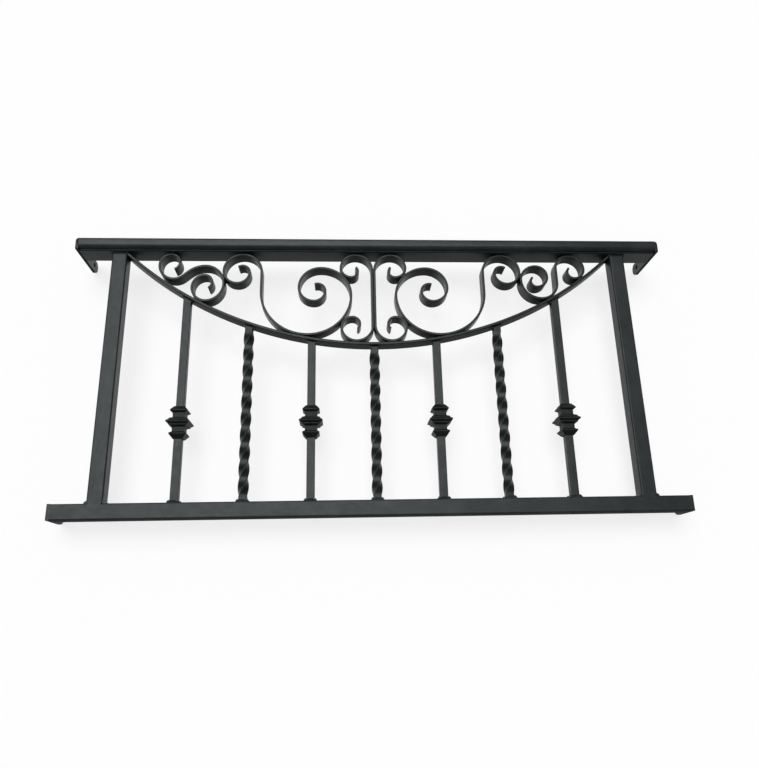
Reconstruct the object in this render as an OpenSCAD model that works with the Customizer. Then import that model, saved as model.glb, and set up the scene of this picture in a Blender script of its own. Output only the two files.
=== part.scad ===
// Balcony railing panel: welded black iron, a row of square bars under a curved
// belly bar, scrolls in the space below the handrail, and lugs at the four ends.
// x runs along the rail, y runs from the street side to the wall side, z is up.

/* [Panel] */
// overall length between the two wall faces
panel_len = 1000; // [900:5:1150]
// height of the posts between the bottom rail and the handrail
post_len = 424; // [390:1:520]
// distance from a wall face to the outer side of the post
post_inset = 57.5; // [40:0.5:80]
// side of the square post tube
post_w = 25; // [20:1:32]
// wall of the post tube
post_wall = 2; // [1.5:0.5:4]
// side of the square bottom rail tube
rail_w = 25; // [22:1:32]
// wall of the bottom rail tube
rail_wall = 2; // [1.5:0.5:4]

/* [Handrail] */
// thickness of the flat bar that the posts are welded to
flat_t = 5; // [4:0.5:8]
// width of the round-edged cap on the flat bar
cap_w = 52; // [50:1:60]
// height of the cap above the flat bar
cap_h = 17; // [16:1:24]
// rounding of the cap's upper edges
cap_top_round = 4.5; // [3:0.5:5.5]
// rounding of the cap's lower edges
cap_low_round = 9.5; // [7:0.5:10]
// wall of the hollow in the cap
cap_wall = 2; // [1.5:0.5:4]
// distance from the cap's side to the inner face of its lip, beside the flat bar
lip_w = 4.5; // [3.5:0.5:5]
// play between that face and the edge of the flat bar
lip_play = 2.5; // [1:0.5:3]
// rounding of the upper corners at the handrail's ends
end_round = 8; // [4:0.5:9]
// rounding of the lower corners of the plates at the handrail's ends
plate_round = 2; // [1:0.5:4]

/* [Bars] */
// side of the square bars
bar_w = 13; // [10:0.5:14]
// length of a quarter turn in the twisted bars
quarter_turn = 28; // [20:1:40]
// plain length left at each end of a twisted bar
twist_end = 8; // [4:1:20]

/* [Collars] */
// height of the middle of the collars above the underside of the bottom rail
collar_z = 152; // [100:1:200]
// height of a collar
collar_h = 53; // [44:1:64]
// height of the thick ring in the middle of a collar, with its slopes
collar_ring_h = 16; // [14:1:22]
// height of the mouldings at the top and the bottom of a collar
collar_lip_h = 11; // [8:1:14]
// metal around the bar at the thick ring
collar_ring_wall = 12; // [8:0.5:14]
// metal around the bar at the end mouldings
collar_lip_wall = 7; // [5:0.5:8]
// metal around the bar at the necks
collar_neck_wall = 3; // [2:0.5:4.5]
// metal around the bar at the ends of a collar
collar_rim = 1.5; // [1:0.5:2.5]
// depth of the step between the ring's sharp edge and its shoulders
collar_step = 4; // [2:0.5:6]
// height of the blunt edges of the ring and the mouldings
collar_edge = 1.4; // [0.6:0.2:2]
// play between a bar and its collar, on each side
collar_play = 0.2; // [0.1:0.05:0.4]

/* [Belly bar and scrolls] */
// depth of the flat stock of the belly bar and the scrolls
stock_d = 25; // [18:1:30]
// thickness of the belly bar
belly_t = 5; // [4:0.5:8]
// drop of the belly bar's top below the handrail in the middle of the panel
belly_drop = 163; // [140:1:185]
// length of the belly bar's tip that lies flat under the handrail
belly_land = 3; // [2:0.5:6]
// thickness of the scrolls
scroll_t = 4; // [3:0.5:5]
// gap left where two pieces are welded along a curve
weld_gap = 0.1; // [0.05:0.05:0.3]

/* [Lugs] */
// thickness of the end plates and their lugs
lug_t = 5; // [5:0.5:8]
// diameter of the fixing hole
lug_hole_d = 9; // [6:0.5:11]
// distance from a lug's round end to the middle of the fixing hole
lug_hole_in = 18; // [11:1:22]
// reach of the upper lugs behind the middle of the panel
upper_reach = 72; // [55:1:90]
// reach of the lower lugs behind the middle of the panel
lower_reach = 50; // [38:1:70]

/* [Hidden] */
$fn = 96;
iron = [0.16, 0.17, 0.17];
half_len = panel_len / 2;
// inner faces of the posts, from the middle of the panel
half_clear = half_len - post_inset - post_w;
post_x = half_clear + post_w / 2;
run_len = panel_len - 2 * lug_t;
under_z = rail_w + post_len;
handrail_h = flat_t + cap_h;
lip_gap = cap_w - 2 * lip_w;
flat_w = lip_gap - 2 * lip_play;

// seven bars share the clear width evenly
bar_count = 7;
pitch = 2 * half_clear / (bar_count + 1);
function bar_x(i) = i * pitch - half_clear;

// the belly bar is an arc through its lowest point and its two tips
belly_half = half_clear - belly_land;
belly_r = (belly_half * belly_half + belly_drop * belly_drop) / (2 * belly_drop);
belly_cz = under_z - belly_drop + belly_r;
belly_low_r = belly_r + belly_t;
function belly_slope(x) = asin(x / belly_low_r);
// height of a bar's cut top at its middle
function bar_top(x) = belly_cz - (belly_low_r + weld_gap) / cos(belly_slope(x));
function bar_cut(x, dx) = bar_top(x) + (x + dx) * tan(belly_slope(x));

// scrolls are drawn in hundredths of the clear half width
unit = half_clear / 100;
arc_step = 9;

// points of a run of arcs: each arc is [radius, turn], left turns positive,
// a straight stretch is [length], both in units
function arc_points(p, a, r, s) =
    let (side = s > 0 ? 90 : -90)
    let (c = p + r * [cos(a + side), sin(a + side)])
    let (n = ceil(abs(s) / arc_step))
    [for (i = [1 : n]) c + r * [cos(a - side + s * i / n), sin(a - side + s * i / n)]];
function stretch(p, a, leg) =
    len(leg) == 1
        ? [p + leg[0] * unit * [cos(a), sin(a)]]
        : arc_points(p, a, leg[0] * unit, leg[1]);
function run(p, a, legs, k = 0) =
    k == len(legs) ? [] :
    let (q = stretch(p, a, legs[k]))
    let (turn = len(legs[k]) == 1 ? 0 : legs[k][1])
    concat(q, run(q[len(q) - 1], a + turn, legs, k + 1));
function mirrored(v) = [for (p = v) [-p[0], p[1]]];
function backwards(v) = [for (i = [len(v) - 1 : -1 : 0]) v[i]];
// both ways from the point under the handrail where the scroll is welded
function two_ways(x, left_legs, right_legs) =
    concat(backwards(run([x, 0], 180, left_legs)), [[x, 0]], run([x, 0], 0, right_legs));

// room left above the belly bar by the middle line of a scroll
function placed(v, k) =
    [for (p = v) [p[0], under_z - weld_gap - scroll_t / 2 + p[1] * k]];
function room(v) = min([for (p = v) belly_r - norm([p[0], p[1] - belly_cz])]);
// stretch of a scroll in height that just lets it stand on the belly bar
function seat(v, lo, hi, n = 0) =
    n == 24 ? lo :
    let (mid = (lo + hi) / 2)
    room(placed(v, mid)) > scroll_t / 2 + weld_gap
        ? seat(v, mid, hi, n + 1)
        : seat(v, lo, mid, n + 1);
function seated(v) = placed(v, seat(v, 0, 4));

// outline of a strip of even thickness along a line of points
function along(v, i) =
    let (d = v[min(i + 1, len(v) - 1)] - v[max(i - 1, 0)])
    [-d[1], d[0]] / norm(d);
function strip(v) = concat(
    [for (i = [0 : len(v) - 1]) v[i] + along(v, i) * scroll_t / 2],
    [for (i = [len(v) - 1 : -1 : 0]) v[i] - along(v, i) * scroll_t / 2]);

// the two middle scrolls stand back to back, as two letters C
c_legs = [[6.8, 90], [25.4], [6.6, 90], [6, 90], [4.4, 90], [3, 90], [2.7, 50]];
c_inner = [[6, -90], [4.3, -90], [2.7, -90], [2.4, -50]];
c_x = c_legs[0][0] * unit + scroll_t / 2 + weld_gap;

// large scrolls, one thickness further out: a small roll at the handrail and
// a large roll on the belly bar
large_x = 52.3 * unit + scroll_t;
large_inner = [[7.6, 90], [5.5, 90], [5, 90], [2.9, 90], [3, 35]];
large_outer = [
    [7.7, -90], [9.3], [18.9, 90], [17.5, 90], [12.3, 90], [8.9, 90], [6.1, 90],
    [4.6, 90], [3.2, 90], [2.5, 25]];

// small scroll on the left, one more thickness out: its strip leaves the
// upper roll at the bottom
left_small_x = -80.3 * unit - 2 * scroll_t;
left_small_legs = [
    [4.5, 90], [5.9, 129], [2.8], [10.7, -39], [7.5, -90], [7, -90], [5.6, -90],
    [5, -90], [3, -90], [2.6, -65]];
left_small_inner = [[3.6, -90], [2.8, -75]];

// small scroll on the right: its strip leaves the upper roll at the side
right_small_x = 80.3 * unit + 2 * scroll_t;
right_small_legs = [
    [5.8, 90], [6.5], [7, -90], [8.1, -90], [6.4, -90], [4.7, -90], [4.6, -90],
    [2.4, -90], [2.4, -50]];
right_small_inner = [[6, -90], [4.2, -90], [2.8, -90], [2.4, -50]];

// the origin is the middle of the lower left plate, on its wall face
module place()
    translate([half_len, 0, -rail_w / 2])
    children();

// an outline drawn in x and z, given a depth about the panel's middle
module deep(d)
    rotate([90, 0, 0])
    linear_extrude(height = d, center = true)
    children();

// an outline drawn in y and z, run along x
module lengthwise(l)
    rotate([90, 0, 90])
    linear_extrude(height = l, center = true)
    children();

module box_tube(side, wall)
    difference() {
        square(side, center = true);
        square(side - 2 * wall, center = true);
    }

module bottom_rail()
    color(iron)
    place()
    translate([0, 0, rail_w / 2])
    lengthwise(run_len)
    box_tube(rail_w, rail_wall);

module post(x)
    color(iron)
    place()
    translate([x, 0, rail_w])
    linear_extrude(height = post_len)
    box_tube(post_w, post_wall);

module left_post() post(-post_x);

module right_post() post(post_x);

module flat_outline()
    translate([-flat_w / 2, 0])
    square([flat_w, flat_t]);

// outline as wide as the cap, with its lower edges rounded by the given amount
module cap_outline(low_round) {
    half = cap_w / 2;
    top_z = handrail_h - cap_top_round;
    union() {
        translate([-half, low_round])
        square([cap_w, top_z - low_round]);
        for (edge = [[low_round, low_round], [cap_top_round, top_z]])
            union() {
                translate([edge[0] - half, edge[1] - edge[0]])
                square([cap_w - 2 * edge[0], 2 * edge[0]]);
                for (side = [-1, 1])
                    translate([side * (half - edge[0]), edge[1]])
                    circle(r = edge[0]);
            }
    }
}

// hollow in the cap, above the flat bar
module cap_hollow() {
    hollow_h = cap_h - 2 * cap_wall;
    translate([0, flat_t + cap_h / 2])
    union() {
        square([cap_w - 2 * cap_wall - hollow_h, hollow_h], center = true);
        for (side = [-1, 1])
            translate([side * ((cap_w - hollow_h) / 2 - cap_wall), 0])
            circle(d = hollow_h);
    }
}

// front view of the handrail with its two upper corners rounded
module end_mask()
    union() {
        translate([-half_len, 0])
        square([panel_len, handrail_h - end_round]);
        translate([-half_len + end_round, 0])
        square([panel_len - 2 * end_round, handrail_h]);
        for (side = [-1, 1])
            translate([side * (half_len - end_round), handrail_h - end_round])
            circle(r = end_round);
    }

module handrail_flat()
    color(iron)
    place()
    translate([0, 0, under_z])
    lengthwise(run_len)
    flat_outline();

module handrail_cap()
    color(iron)
    place()
    translate([0, 0, under_z])
    intersection() {
        lengthwise(run_len)
        difference() {
            cap_outline(cap_low_round);
            cap_hollow();
            translate([-lip_gap / 2, 0])
            square([lip_gap, flat_t]);
        }
        deep(2 * cap_w)
        end_mask();
    }

// flat tail of a lug with a round end, reaching back from the panel's middle
module tail_outline(reach, tall)
    union() {
        square([reach - tall / 2, tall]);
        translate([reach - tall / 2, tall / 2])
        circle(d = tall);
    }

module fixing_hole(reach, tall)
    translate([reach - lug_hole_in, tall / 2])
    circle(d = lug_hole_d);

module lower_lug(side)
    color(iron)
    place()
    translate([side * (half_len - lug_t / 2), 0, 0])
    lengthwise(lug_t)
    difference() {
        union() {
            translate([0, rail_w / 2])
            square(rail_w, center = true);
            tail_outline(lower_reach, rail_w);
        }
        fixing_hole(lower_reach, rail_w);
    }

module left_lower_lug() lower_lug(-1);

module right_lower_lug() lower_lug(1);

module upper_lug(side)
    color(iron)
    place()
    translate([0, 0, under_z])
    intersection() {
        translate([side * (half_len - lug_t / 2), 0, 0])
        lengthwise(lug_t)
        difference() {
            union() {
                cap_outline(plate_round);
                tail_outline(upper_reach, handrail_h);
            }
            fixing_hole(upper_reach, handrail_h);
        }
        deep(2 * upper_reach + cap_w)
        end_mask();
    }

module left_upper_lug() upper_lug(-1);

module right_upper_lug() upper_lug(1);

module belly_bar()
    color(iron)
    place()
    deep(stock_d)
    intersection() {
        translate([0, belly_cz])
        difference() {
            circle(r = belly_low_r);
            circle(r = belly_r);
        }
        translate([-half_clear, under_z - belly_drop - 2 * belly_t])
        square([2 * half_clear, belly_drop + 2 * belly_t]);
    }

// square bar from the bottom rail up to the slant of the belly bar
module plain_bar(i)
    color(iron)
    place()
    deep(bar_w)
    polygon([
        [bar_x(i) - bar_w / 2, rail_w],
        [bar_x(i) + bar_w / 2, rail_w],
        [bar_x(i) + bar_w / 2, bar_cut(bar_x(i), bar_w / 2)],
        [bar_x(i) - bar_w / 2, bar_cut(bar_x(i), -bar_w / 2)]]);

module plain_bar_1() plain_bar(1);

module plain_bar_2() plain_bar(3);

module plain_bar_3() plain_bar(5);

module plain_bar_4() plain_bar(7);

// rings of the same bar, twisted by whole quarter turns between its plain ends
turn_steps = 9;
bar_corner = bar_w / sqrt(2);
function ring(z, a) = [
    for (j = [0 : 3])
        [bar_corner * cos(a + 45 + 90 * j), bar_corner * sin(a + 45 + 90 * j), z]];
function slanted(x, v) = [for (p = v) [p[0], p[1], bar_cut(x, p[0])]];
function rings(x, low, high, n) = concat(
    ring(rail_w, 0),
    [for (i = [0 : n]) each ring(low + (high - low) * i / n, 90 / turn_steps * i)],
    slanted(x, ring(high, 0)));

module twisted_bar(i) {
    x = bar_x(i);
    low = rail_w + twist_end;
    high = min(bar_cut(x, -bar_w / 2), bar_cut(x, bar_w / 2)) - twist_end;
    n = turn_steps * round((high - low) / quarter_turn);
    points = rings(x, low, high, n);
    last = len(points) - 4;
    sides = [
        for (k = [0 : 4 : last - 4], j = [0 : 3])
            each [
                [k + j, k + 4 + j, k + 4 + (j + 1) % 4],
                [k + j, k + 4 + (j + 1) % 4, k + (j + 1) % 4]]];
    color(iron)
    place()
    translate([x, 0, 0])
    polyhedron(points, concat([[0, 1, 2, 3], [last + 3, last + 2, last + 1, last]], sides));
}

module twisted_bar_1() twisted_bar(2);

module twisted_bar_2() twisted_bar(4);

module twisted_bar_3() twisted_bar(6);

// upper half of a collar from the middle up: [half width, height]
collar_bore = bar_w / 2 + collar_play;
collar_half = [
    [collar_bore + collar_ring_wall, collar_edge / 2],
    [collar_bore + collar_ring_wall - collar_step, collar_ring_h / 4],
    [collar_bore + collar_ring_wall - collar_step, collar_ring_h / 3],
    [collar_bore + collar_neck_wall, collar_ring_h / 2],
    [collar_bore + collar_neck_wall, collar_h / 2 - collar_lip_h],
    [collar_bore + collar_lip_wall, collar_h / 2 - 3 / 4 * collar_lip_h],
    [collar_bore + collar_lip_wall, collar_h / 2 - 3 / 4 * collar_lip_h + collar_edge],
    [collar_bore + collar_rim, collar_h / 2]];

module collar_outline() {
    low = [for (p = backwards(collar_half)) [p[0], -p[1]]];
    right = concat(low, collar_half);
    polygon(concat(right, mirrored(backwards(right))));
}

module collar(i)
    color(iron)
    place()
    translate([bar_x(i), 0, collar_z])
    difference() {
        intersection() {
            deep(2 * (collar_bore + collar_ring_wall))
            collar_outline();
            lengthwise(2 * (collar_bore + collar_ring_wall))
            collar_outline();
        }
        cube([2 * collar_bore, 2 * collar_bore, 2 * collar_h], center = true);
    }

module collar_1() collar(1);

module collar_2() collar(3);

module collar_3() collar(5);

module collar_4() collar(7);

module scroll(v)
    color(iron)
    place()
    deep(stock_d)
    polygon(strip(seated(v)));

module right_c_scroll() scroll(two_ways(c_x, c_legs, c_inner));

module left_c_scroll() scroll(mirrored(two_ways(c_x, c_legs, c_inner)));

module left_large_scroll() scroll(two_ways(-large_x, large_inner, large_outer));

module right_large_scroll() scroll(mirrored(two_ways(-large_x, large_inner, large_outer)));

module left_small_scroll() scroll(two_ways(left_small_x, left_small_legs, left_small_inner));

module right_small_scroll() scroll(two_ways(right_small_x, right_small_legs, right_small_inner));

bottom_rail();
left_post();
right_post();
handrail_flat();
handrail_cap();
left_lower_lug();
right_lower_lug();
left_upper_lug();
right_upper_lug();
belly_bar();
plain_bar_1();
plain_bar_2();
plain_bar_3();
plain_bar_4();
twisted_bar_1();
twisted_bar_2();
twisted_bar_3();
collar_1();
collar_2();
collar_3();
collar_4();
left_c_scroll();
right_c_scroll();
left_large_scroll();
right_large_scroll();
left_small_scroll();
right_small_scroll();
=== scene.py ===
"""Looks of a black iron balcony railing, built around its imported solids.

x runs along the rail, y from the street side to the wall side, z is up. Meshes
are made in millimetres and become metres when a piece is finished.
"""

import logging
import math
from dataclasses import dataclass
from enum import Enum
from typing import Iterable, Sequence

import bmesh
import bpy
from mathutils import Euler, Matrix, Vector


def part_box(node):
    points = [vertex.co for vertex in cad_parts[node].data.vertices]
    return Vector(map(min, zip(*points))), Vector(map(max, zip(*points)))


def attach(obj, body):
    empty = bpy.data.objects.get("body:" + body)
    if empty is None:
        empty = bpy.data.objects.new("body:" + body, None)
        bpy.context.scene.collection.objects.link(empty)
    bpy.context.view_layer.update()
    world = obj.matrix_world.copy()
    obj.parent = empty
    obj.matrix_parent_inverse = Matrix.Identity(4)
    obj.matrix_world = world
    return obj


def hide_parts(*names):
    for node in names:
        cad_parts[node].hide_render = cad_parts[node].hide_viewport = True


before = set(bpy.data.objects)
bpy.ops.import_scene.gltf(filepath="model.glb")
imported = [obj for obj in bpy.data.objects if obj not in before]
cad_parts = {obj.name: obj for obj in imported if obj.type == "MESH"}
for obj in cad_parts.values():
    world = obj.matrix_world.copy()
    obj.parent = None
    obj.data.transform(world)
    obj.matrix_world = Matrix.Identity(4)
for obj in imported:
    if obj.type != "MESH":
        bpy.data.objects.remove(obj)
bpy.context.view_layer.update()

LOG = logging.getLogger("railing")
MM = 0.001
BODY = "root"
PHOTO_LONG_SIDE = 768

# Cosine above which two directions count as one, and distances, in millimetres,
# below which a point counts as lying on a plane or two points count as one.
PARALLEL = 0.999
ON_PLANE = 1e-4
SAME_POINT = 0.01

# Angle above which an edge is shaded as an edge, and faces across a corner.
SHARP_ANGLE = math.radians(50.0)
CORNER_STEPS = 3
TUBE_CORNER_STEPS = 6

# Places of the colour sockets on a Mix node, whose names are all alike.
MIX_SHARE, MIX_FIRST, MIX_SECOND, MIX_RESULT = 0, 6, 7, 2

# Ranges of a noise, or of a cosine, over which an effect in the paint comes in.
CLOUD_SPAN = (0.34, 0.68)
MARK_TONE_SPAN = (0.55, 0.80)
MARK_ROUGH_SPAN = (0.30, 0.75)
PATCH_SPAN = (0.30, 0.70)
CHIP_SPAN = (0.40, 0.66)
EDGE_SPAN = (0.99, 0.86)
UNDER_SPAN = (-0.95, -0.45)

# Most that a drawn mark fades the tone, least rubbing of an edge, and how a noise
# and the search for edges are made.
MARK_SHARE = 0.45
LEAST_WEAR = 0.1
NOISE_ROUGHNESS = 0.55
EDGE_RADIUS = 1.6
EDGE_SAMPLES = 6

X_AXIS = Vector((1.0, 0.0, 0.0))
Y_AXIS = Vector((0.0, 1.0, 0.0))
Z_AXIS = Vector((0.0, 0.0, 1.0))


class Grain(Enum):
    """Scale of the marks in the paint along x, y and z; a small one draws them out."""

    UPRIGHT = (1.0, 1.0, 0.07)
    LENGTHWISE = (0.07, 1.0, 1.0)
    EVEN = (1.0, 1.0, 1.0)


class PaintNoise(Enum):
    """The noises in the paint: cells in a metre, and octaves."""

    CLOUD = (26.0, 5.0)
    PATCH = (95.0, 4.0)
    MARKS = (620.0, 3.0)
    PEEL = (780.0, 2.0)
    WAVE = (55.0, 1.0)
    CHIPS = (210.0, 6.0)


class Side(Enum):
    """The two ends of the panel, seen from the street."""

    LEFT = -1
    RIGHT = 1


def direction(angle: float) -> Vector:
    """Returns a direction in the panel's plane, at an angle from +x towards +z."""
    return Vector((math.cos(angle), 0.0, math.sin(angle)))


class NodeBoard:
    """A material's or a world's node tree, cleared and ready to be wired."""

    def __init__(self, tree: bpy.types.NodeTree) -> None:
        """Clears the tree.

        Args:
            tree: the node tree to fill.
        """
        self.tree = tree
        tree.nodes.clear()

    def add(self, kind: str, **values: object) -> bpy.types.Node:
        """Adds a node.

        Args:
            kind: Blender's name of the node type.
            values: properties of the node; a name that isn't a property is
                an input, written with _ for a space.

        Returns:
            The new node.
        """
        node = self.tree.nodes.new(kind)
        for name, value in values.items():
            if hasattr(node, name):
                setattr(node, name, value)
            else:
                node.inputs[name.replace("_", " ")].default_value = value
        return node

    def wire(self, source: bpy.types.NodeSocket, target: bpy.types.NodeSocket) -> None:
        """Links an output to an input."""
        self.tree.links.new(source, target)

    def join(
        self, operation: str, first: bpy.types.NodeSocket, second: bpy.types.NodeSocket
    ) -> bpy.types.NodeSocket:
        """Makes one value of two.

        Args:
            operation: Blender's name of the sum, such as ADD.
            first: the first value.
            second: the second value.

        Returns:
            The result.
        """
        node = self.add("ShaderNodeMath", operation=operation)
        self.wire(first, node.inputs[0])
        self.wire(second, node.inputs[1])
        return node.outputs["Value"]

    def layer(
        self, share: bpy.types.NodeSocket, first: bpy.types.NodeSocket,
        second: bpy.types.NodeSocket
    ) -> bpy.types.NodeSocket:
        """Mixes two shaders.

        Args:
            share: how much of the second shader shows.
            first: the first shader.
            second: the second shader.

        Returns:
            The mixed shader.
        """
        node = self.add("ShaderNodeMixShader")
        for source, target in zip((share, first, second), node.inputs):
            self.wire(source, target)
        return node.outputs["Shader"]

    def between(
        self, value: bpy.types.NodeSocket, span: tuple[float, float], to: tuple[float, float]
    ) -> bpy.types.NodeSocket:
        """Maps a range of a value onto another range.

        Args:
            value: the socket to map.
            span: the two ends of the range.
            to: the values that they become.

        Returns:
            The mapped, clamped value.
        """
        node = self.add("ShaderNodeMapRange", From_Min=span[0], From_Max=span[1])
        node.inputs["To Min"].default_value, node.inputs["To Max"].default_value = to
        self.wire(value, node.inputs["Value"])
        return node.outputs["Result"]

    def blend(
        self, factor: bpy.types.NodeSocket, first: object, second: Sequence[float]
    ) -> bpy.types.NodeSocket:
        """Mixes two colours.

        Args:
            factor: how much of the second colour shows.
            first: a colour, or the socket of one.
            second: the other colour.

        Returns:
            The mixed colour.
        """
        node = self.add("ShaderNodeMix", data_type="RGBA")
        self.wire(factor, node.inputs[MIX_SHARE])
        if isinstance(first, bpy.types.NodeSocket):
            self.wire(first, node.inputs[MIX_FIRST])
        else:
            node.inputs[MIX_FIRST].default_value = (*first, 1.0)
        node.inputs[MIX_SECOND].default_value = (*second, 1.0)
        return node.outputs[MIX_RESULT]


@dataclass(frozen=True)
class PaintFinish:
    """Satin black paint on iron.

    Tones are linear; peel, wave and mark are depths in millimetres. Patches is how
    far the roughness strays in blotches, wear the most that an edge is rubbed, and
    under the least roughness of a face that looks straight down.
    """

    name: str
    grain: Grain = Grain.EVEN
    deep: tuple[float, float, float] = (0.0105, 0.0128, 0.0130)
    faded: tuple[float, float, float] = (0.019, 0.0225, 0.0228)
    rubbed: tuple[float, float, float] = (0.060, 0.066, 0.065)
    roughness: tuple[float, float] = (0.34, 0.45)
    patches: float = 0.04
    specular: float = 0.21
    tint: tuple[float, float, float] = (0.92, 1.0, 1.0)
    peel: float = 0.05
    wave: float = 0.25
    mark: float = 0.05
    wear: float = 0.55
    under: float = 1.0

    def material(self) -> bpy.types.Material:
        """Returns the finish as a material, made on its first use."""
        made = bpy.data.materials.get(self.name)
        return made or self._wired()

    def _wired(self) -> bpy.types.Material:
        """Makes the material and wires its nodes.

        Returns:
            The new material.
        """
        material = bpy.data.materials.new(self.name)
        material.use_nodes = True
        board = NodeBoard(material.node_tree)
        paint = board.add("ShaderNodeBsdfPrincipled", Specular_Tint=(*self.tint, 1.0))
        paint.inputs["Specular IOR Level"].default_value = self.specular
        out = board.add("ShaderNodeOutputMaterial")
        board.wire(paint.outputs["BSDF"], out.inputs["Surface"])

        place = board.add("ShaderNodeTexCoord").outputs["Object"]
        drawn = board.add("ShaderNodeMapping")
        drawn.inputs["Scale"].default_value = self.grain.value
        board.wire(place, drawn.inputs["Vector"])

        marks = self._noise(board, drawn.outputs["Vector"], PaintNoise.MARKS)
        board.wire(self._tone(board, place, marks), paint.inputs["Base Color"])
        board.wire(self._dullness(board, place, marks), paint.inputs["Roughness"])
        board.wire(self._relief(board, place, marks), paint.inputs["Normal"])
        return material

    def _tone(
        self, board: NodeBoard, place: bpy.types.NodeSocket, marks: bpy.types.NodeSocket
    ) -> bpy.types.NodeSocket:
        """Mixes the colour: clouded, marked along the grain and rubbed on the edges.

        Args:
            board: the node tree.
            place: the coordinates that it follows.
            marks: the noise that is drawn out along the grain.

        Returns:
            The colour.
        """
        cloud = board.between(
            self._noise(board, place, PaintNoise.CLOUD), CLOUD_SPAN, (0.0, 1.0))
        tone = board.blend(cloud, self.deep, self.faded)
        drawn = board.between(marks, MARK_TONE_SPAN, (0.0, MARK_SHARE))
        tone = board.blend(drawn, tone, self.faded)
        chips = board.between(
            self._noise(board, place, PaintNoise.CHIPS), CHIP_SPAN, (LEAST_WEAR, self.wear))
        rub = board.join("MULTIPLY", self._edges(board), chips)
        return board.blend(rub, tone, self.rubbed)

    def _dullness(
        self, board: NodeBoard, place: bpy.types.NodeSocket, marks: bpy.types.NodeSocket
    ) -> bpy.types.NodeSocket:
        """Mixes the roughness: marked, blotched and dull on the undersides.

        Args:
            board: the node tree.
            place: the coordinates that it follows.
            marks: the noise that is drawn out along the grain.

        Returns:
            The roughness.
        """
        blotch = board.between(
            self._noise(board, place, PaintNoise.PATCH), PATCH_SPAN,
            (self.patches, -self.patches))
        dull = board.join("ADD", board.between(marks, MARK_ROUGH_SPAN, self.roughness), blotch)
        return board.join("MAXIMUM", dull, self._undersides(board))

    def _relief(
        self, board: NodeBoard, place: bpy.types.NodeSocket, marks: bpy.types.NodeSocket
    ) -> bpy.types.NodeSocket:
        """Stacks the bumps: slow waves, orange peel and marks.

        Args:
            board: the node tree.
            place: the coordinates that they follow.
            marks: the noise that is drawn out along the grain.

        Returns:
            The bumped normal.
        """
        heights = (
            (self._noise(board, place, PaintNoise.WAVE), self.wave),
            (self._noise(board, place, PaintNoise.PEEL), self.peel),
            (marks, self.mark))
        normal = None
        for height, depth in heights:
            bump = board.add("ShaderNodeBump", Distance=depth * MM, Strength=1.0)
            board.wire(height, bump.inputs["Height"])
            if normal is not None:
                board.wire(normal, bump.inputs["Normal"])
            normal = bump.outputs["Normal"]
        return normal

    @staticmethod
    def _noise(
        board: NodeBoard, place: bpy.types.NodeSocket, kind: PaintNoise
    ) -> bpy.types.NodeSocket:
        """Adds a noise texture.

        Args:
            board: the node tree.
            place: the coordinates that it follows.
            kind: which of the paint's noises.

        Returns:
            The noise's value.
        """
        scale, detail = kind.value
        noise = board.add(
            "ShaderNodeTexNoise", Scale=scale, Detail=detail, Roughness=NOISE_ROUGHNESS)
        board.wire(place, noise.inputs["Vector"])
        return noise.outputs["Fac"]

    def _undersides(self, board: NodeBoard) -> bpy.types.NodeSocket:
        """Finds the faces that look down, where the spray is thin and dull.

        Args:
            board: the node tree.

        Returns:
            The least roughness of a face, which is 0 unless it looks down.
        """
        parts = board.add("ShaderNodeSeparateXYZ")
        board.wire(board.add("ShaderNodeTexCoord").outputs["Normal"], parts.inputs["Vector"])
        return board.between(parts.outputs["Z"], UNDER_SPAN, (self.under, 0.0))

    @staticmethod
    def _edges(board: NodeBoard) -> bpy.types.NodeSocket:
        """Finds the edges, where paint is thin.

        Args:
            board: the node tree.

        Returns:
            A value that is 1 on edges and 0 on flats.
        """
        soft = board.add("ShaderNodeBevel", samples=EDGE_SAMPLES, Radius=EDGE_RADIUS * MM)
        true = board.add("ShaderNodeNewGeometry")
        meet = board.add("ShaderNodeVectorMath", operation="DOT_PRODUCT")
        board.wire(soft.outputs["Normal"], meet.inputs[0])
        board.wire(true.outputs["Normal"], meet.inputs[1])
        return board.between(meet.outputs["Value"], EDGE_SPAN, (0.0, 1.0))


TUBE_PAINT = PaintFinish("upright_tube_paint", grain=Grain.UPRIGHT)
RAIL_PAINT = PaintFinish("bottom_rail_paint", grain=Grain.LENGTHWISE)
FLAT_PAINT = PaintFinish("handrail_flat_paint", grain=Grain.LENGTHWISE, under=0.55)
CAP_PAINT = PaintFinish(
    "handrail_cap_paint", grain=Grain.LENGTHWISE, roughness=(0.27, 0.37), under=0.5)
BAR_PAINT = PaintFinish("bar_paint", grain=Grain.UPRIGHT, mark=0.08)
# The twisted bars, cast collars and forged scroll strips carry the same black paint as the tubes.
# Their darker base tones below are painted shade: they stand in for the shade on their turned
# facets and in their hollows.
TWIST_SHADED_PAINT = PaintFinish(
    "twisted_bar_shaded_paint", deep=(0.0055, 0.0068, 0.0068), faded=(0.011, 0.0130, 0.0130),
    roughness=(0.30, 0.40), specular=0.19, wave=0.35, under=0.7)
CAST_SHADED_PAINT = PaintFinish(
    "cast_collar_shaded_paint", deep=(0.0045, 0.0055, 0.0055), faded=(0.009, 0.0108, 0.0108),
    roughness=(0.48, 0.62), peel=0.10, wave=0.30, wear=0.7, under=0.7)
FORGED_SHADED_PAINT = PaintFinish(
    "forged_strip_shaded_paint", deep=(0.0065, 0.0080, 0.0080), faded=(0.012, 0.0143, 0.0143),
    roughness=(0.30, 0.42), wave=0.40, peel=0.06, under=0.7)
WELD_PAINT = PaintFinish("weld_paint", peel=0.12, wave=0.35, wear=0.35)


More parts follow.
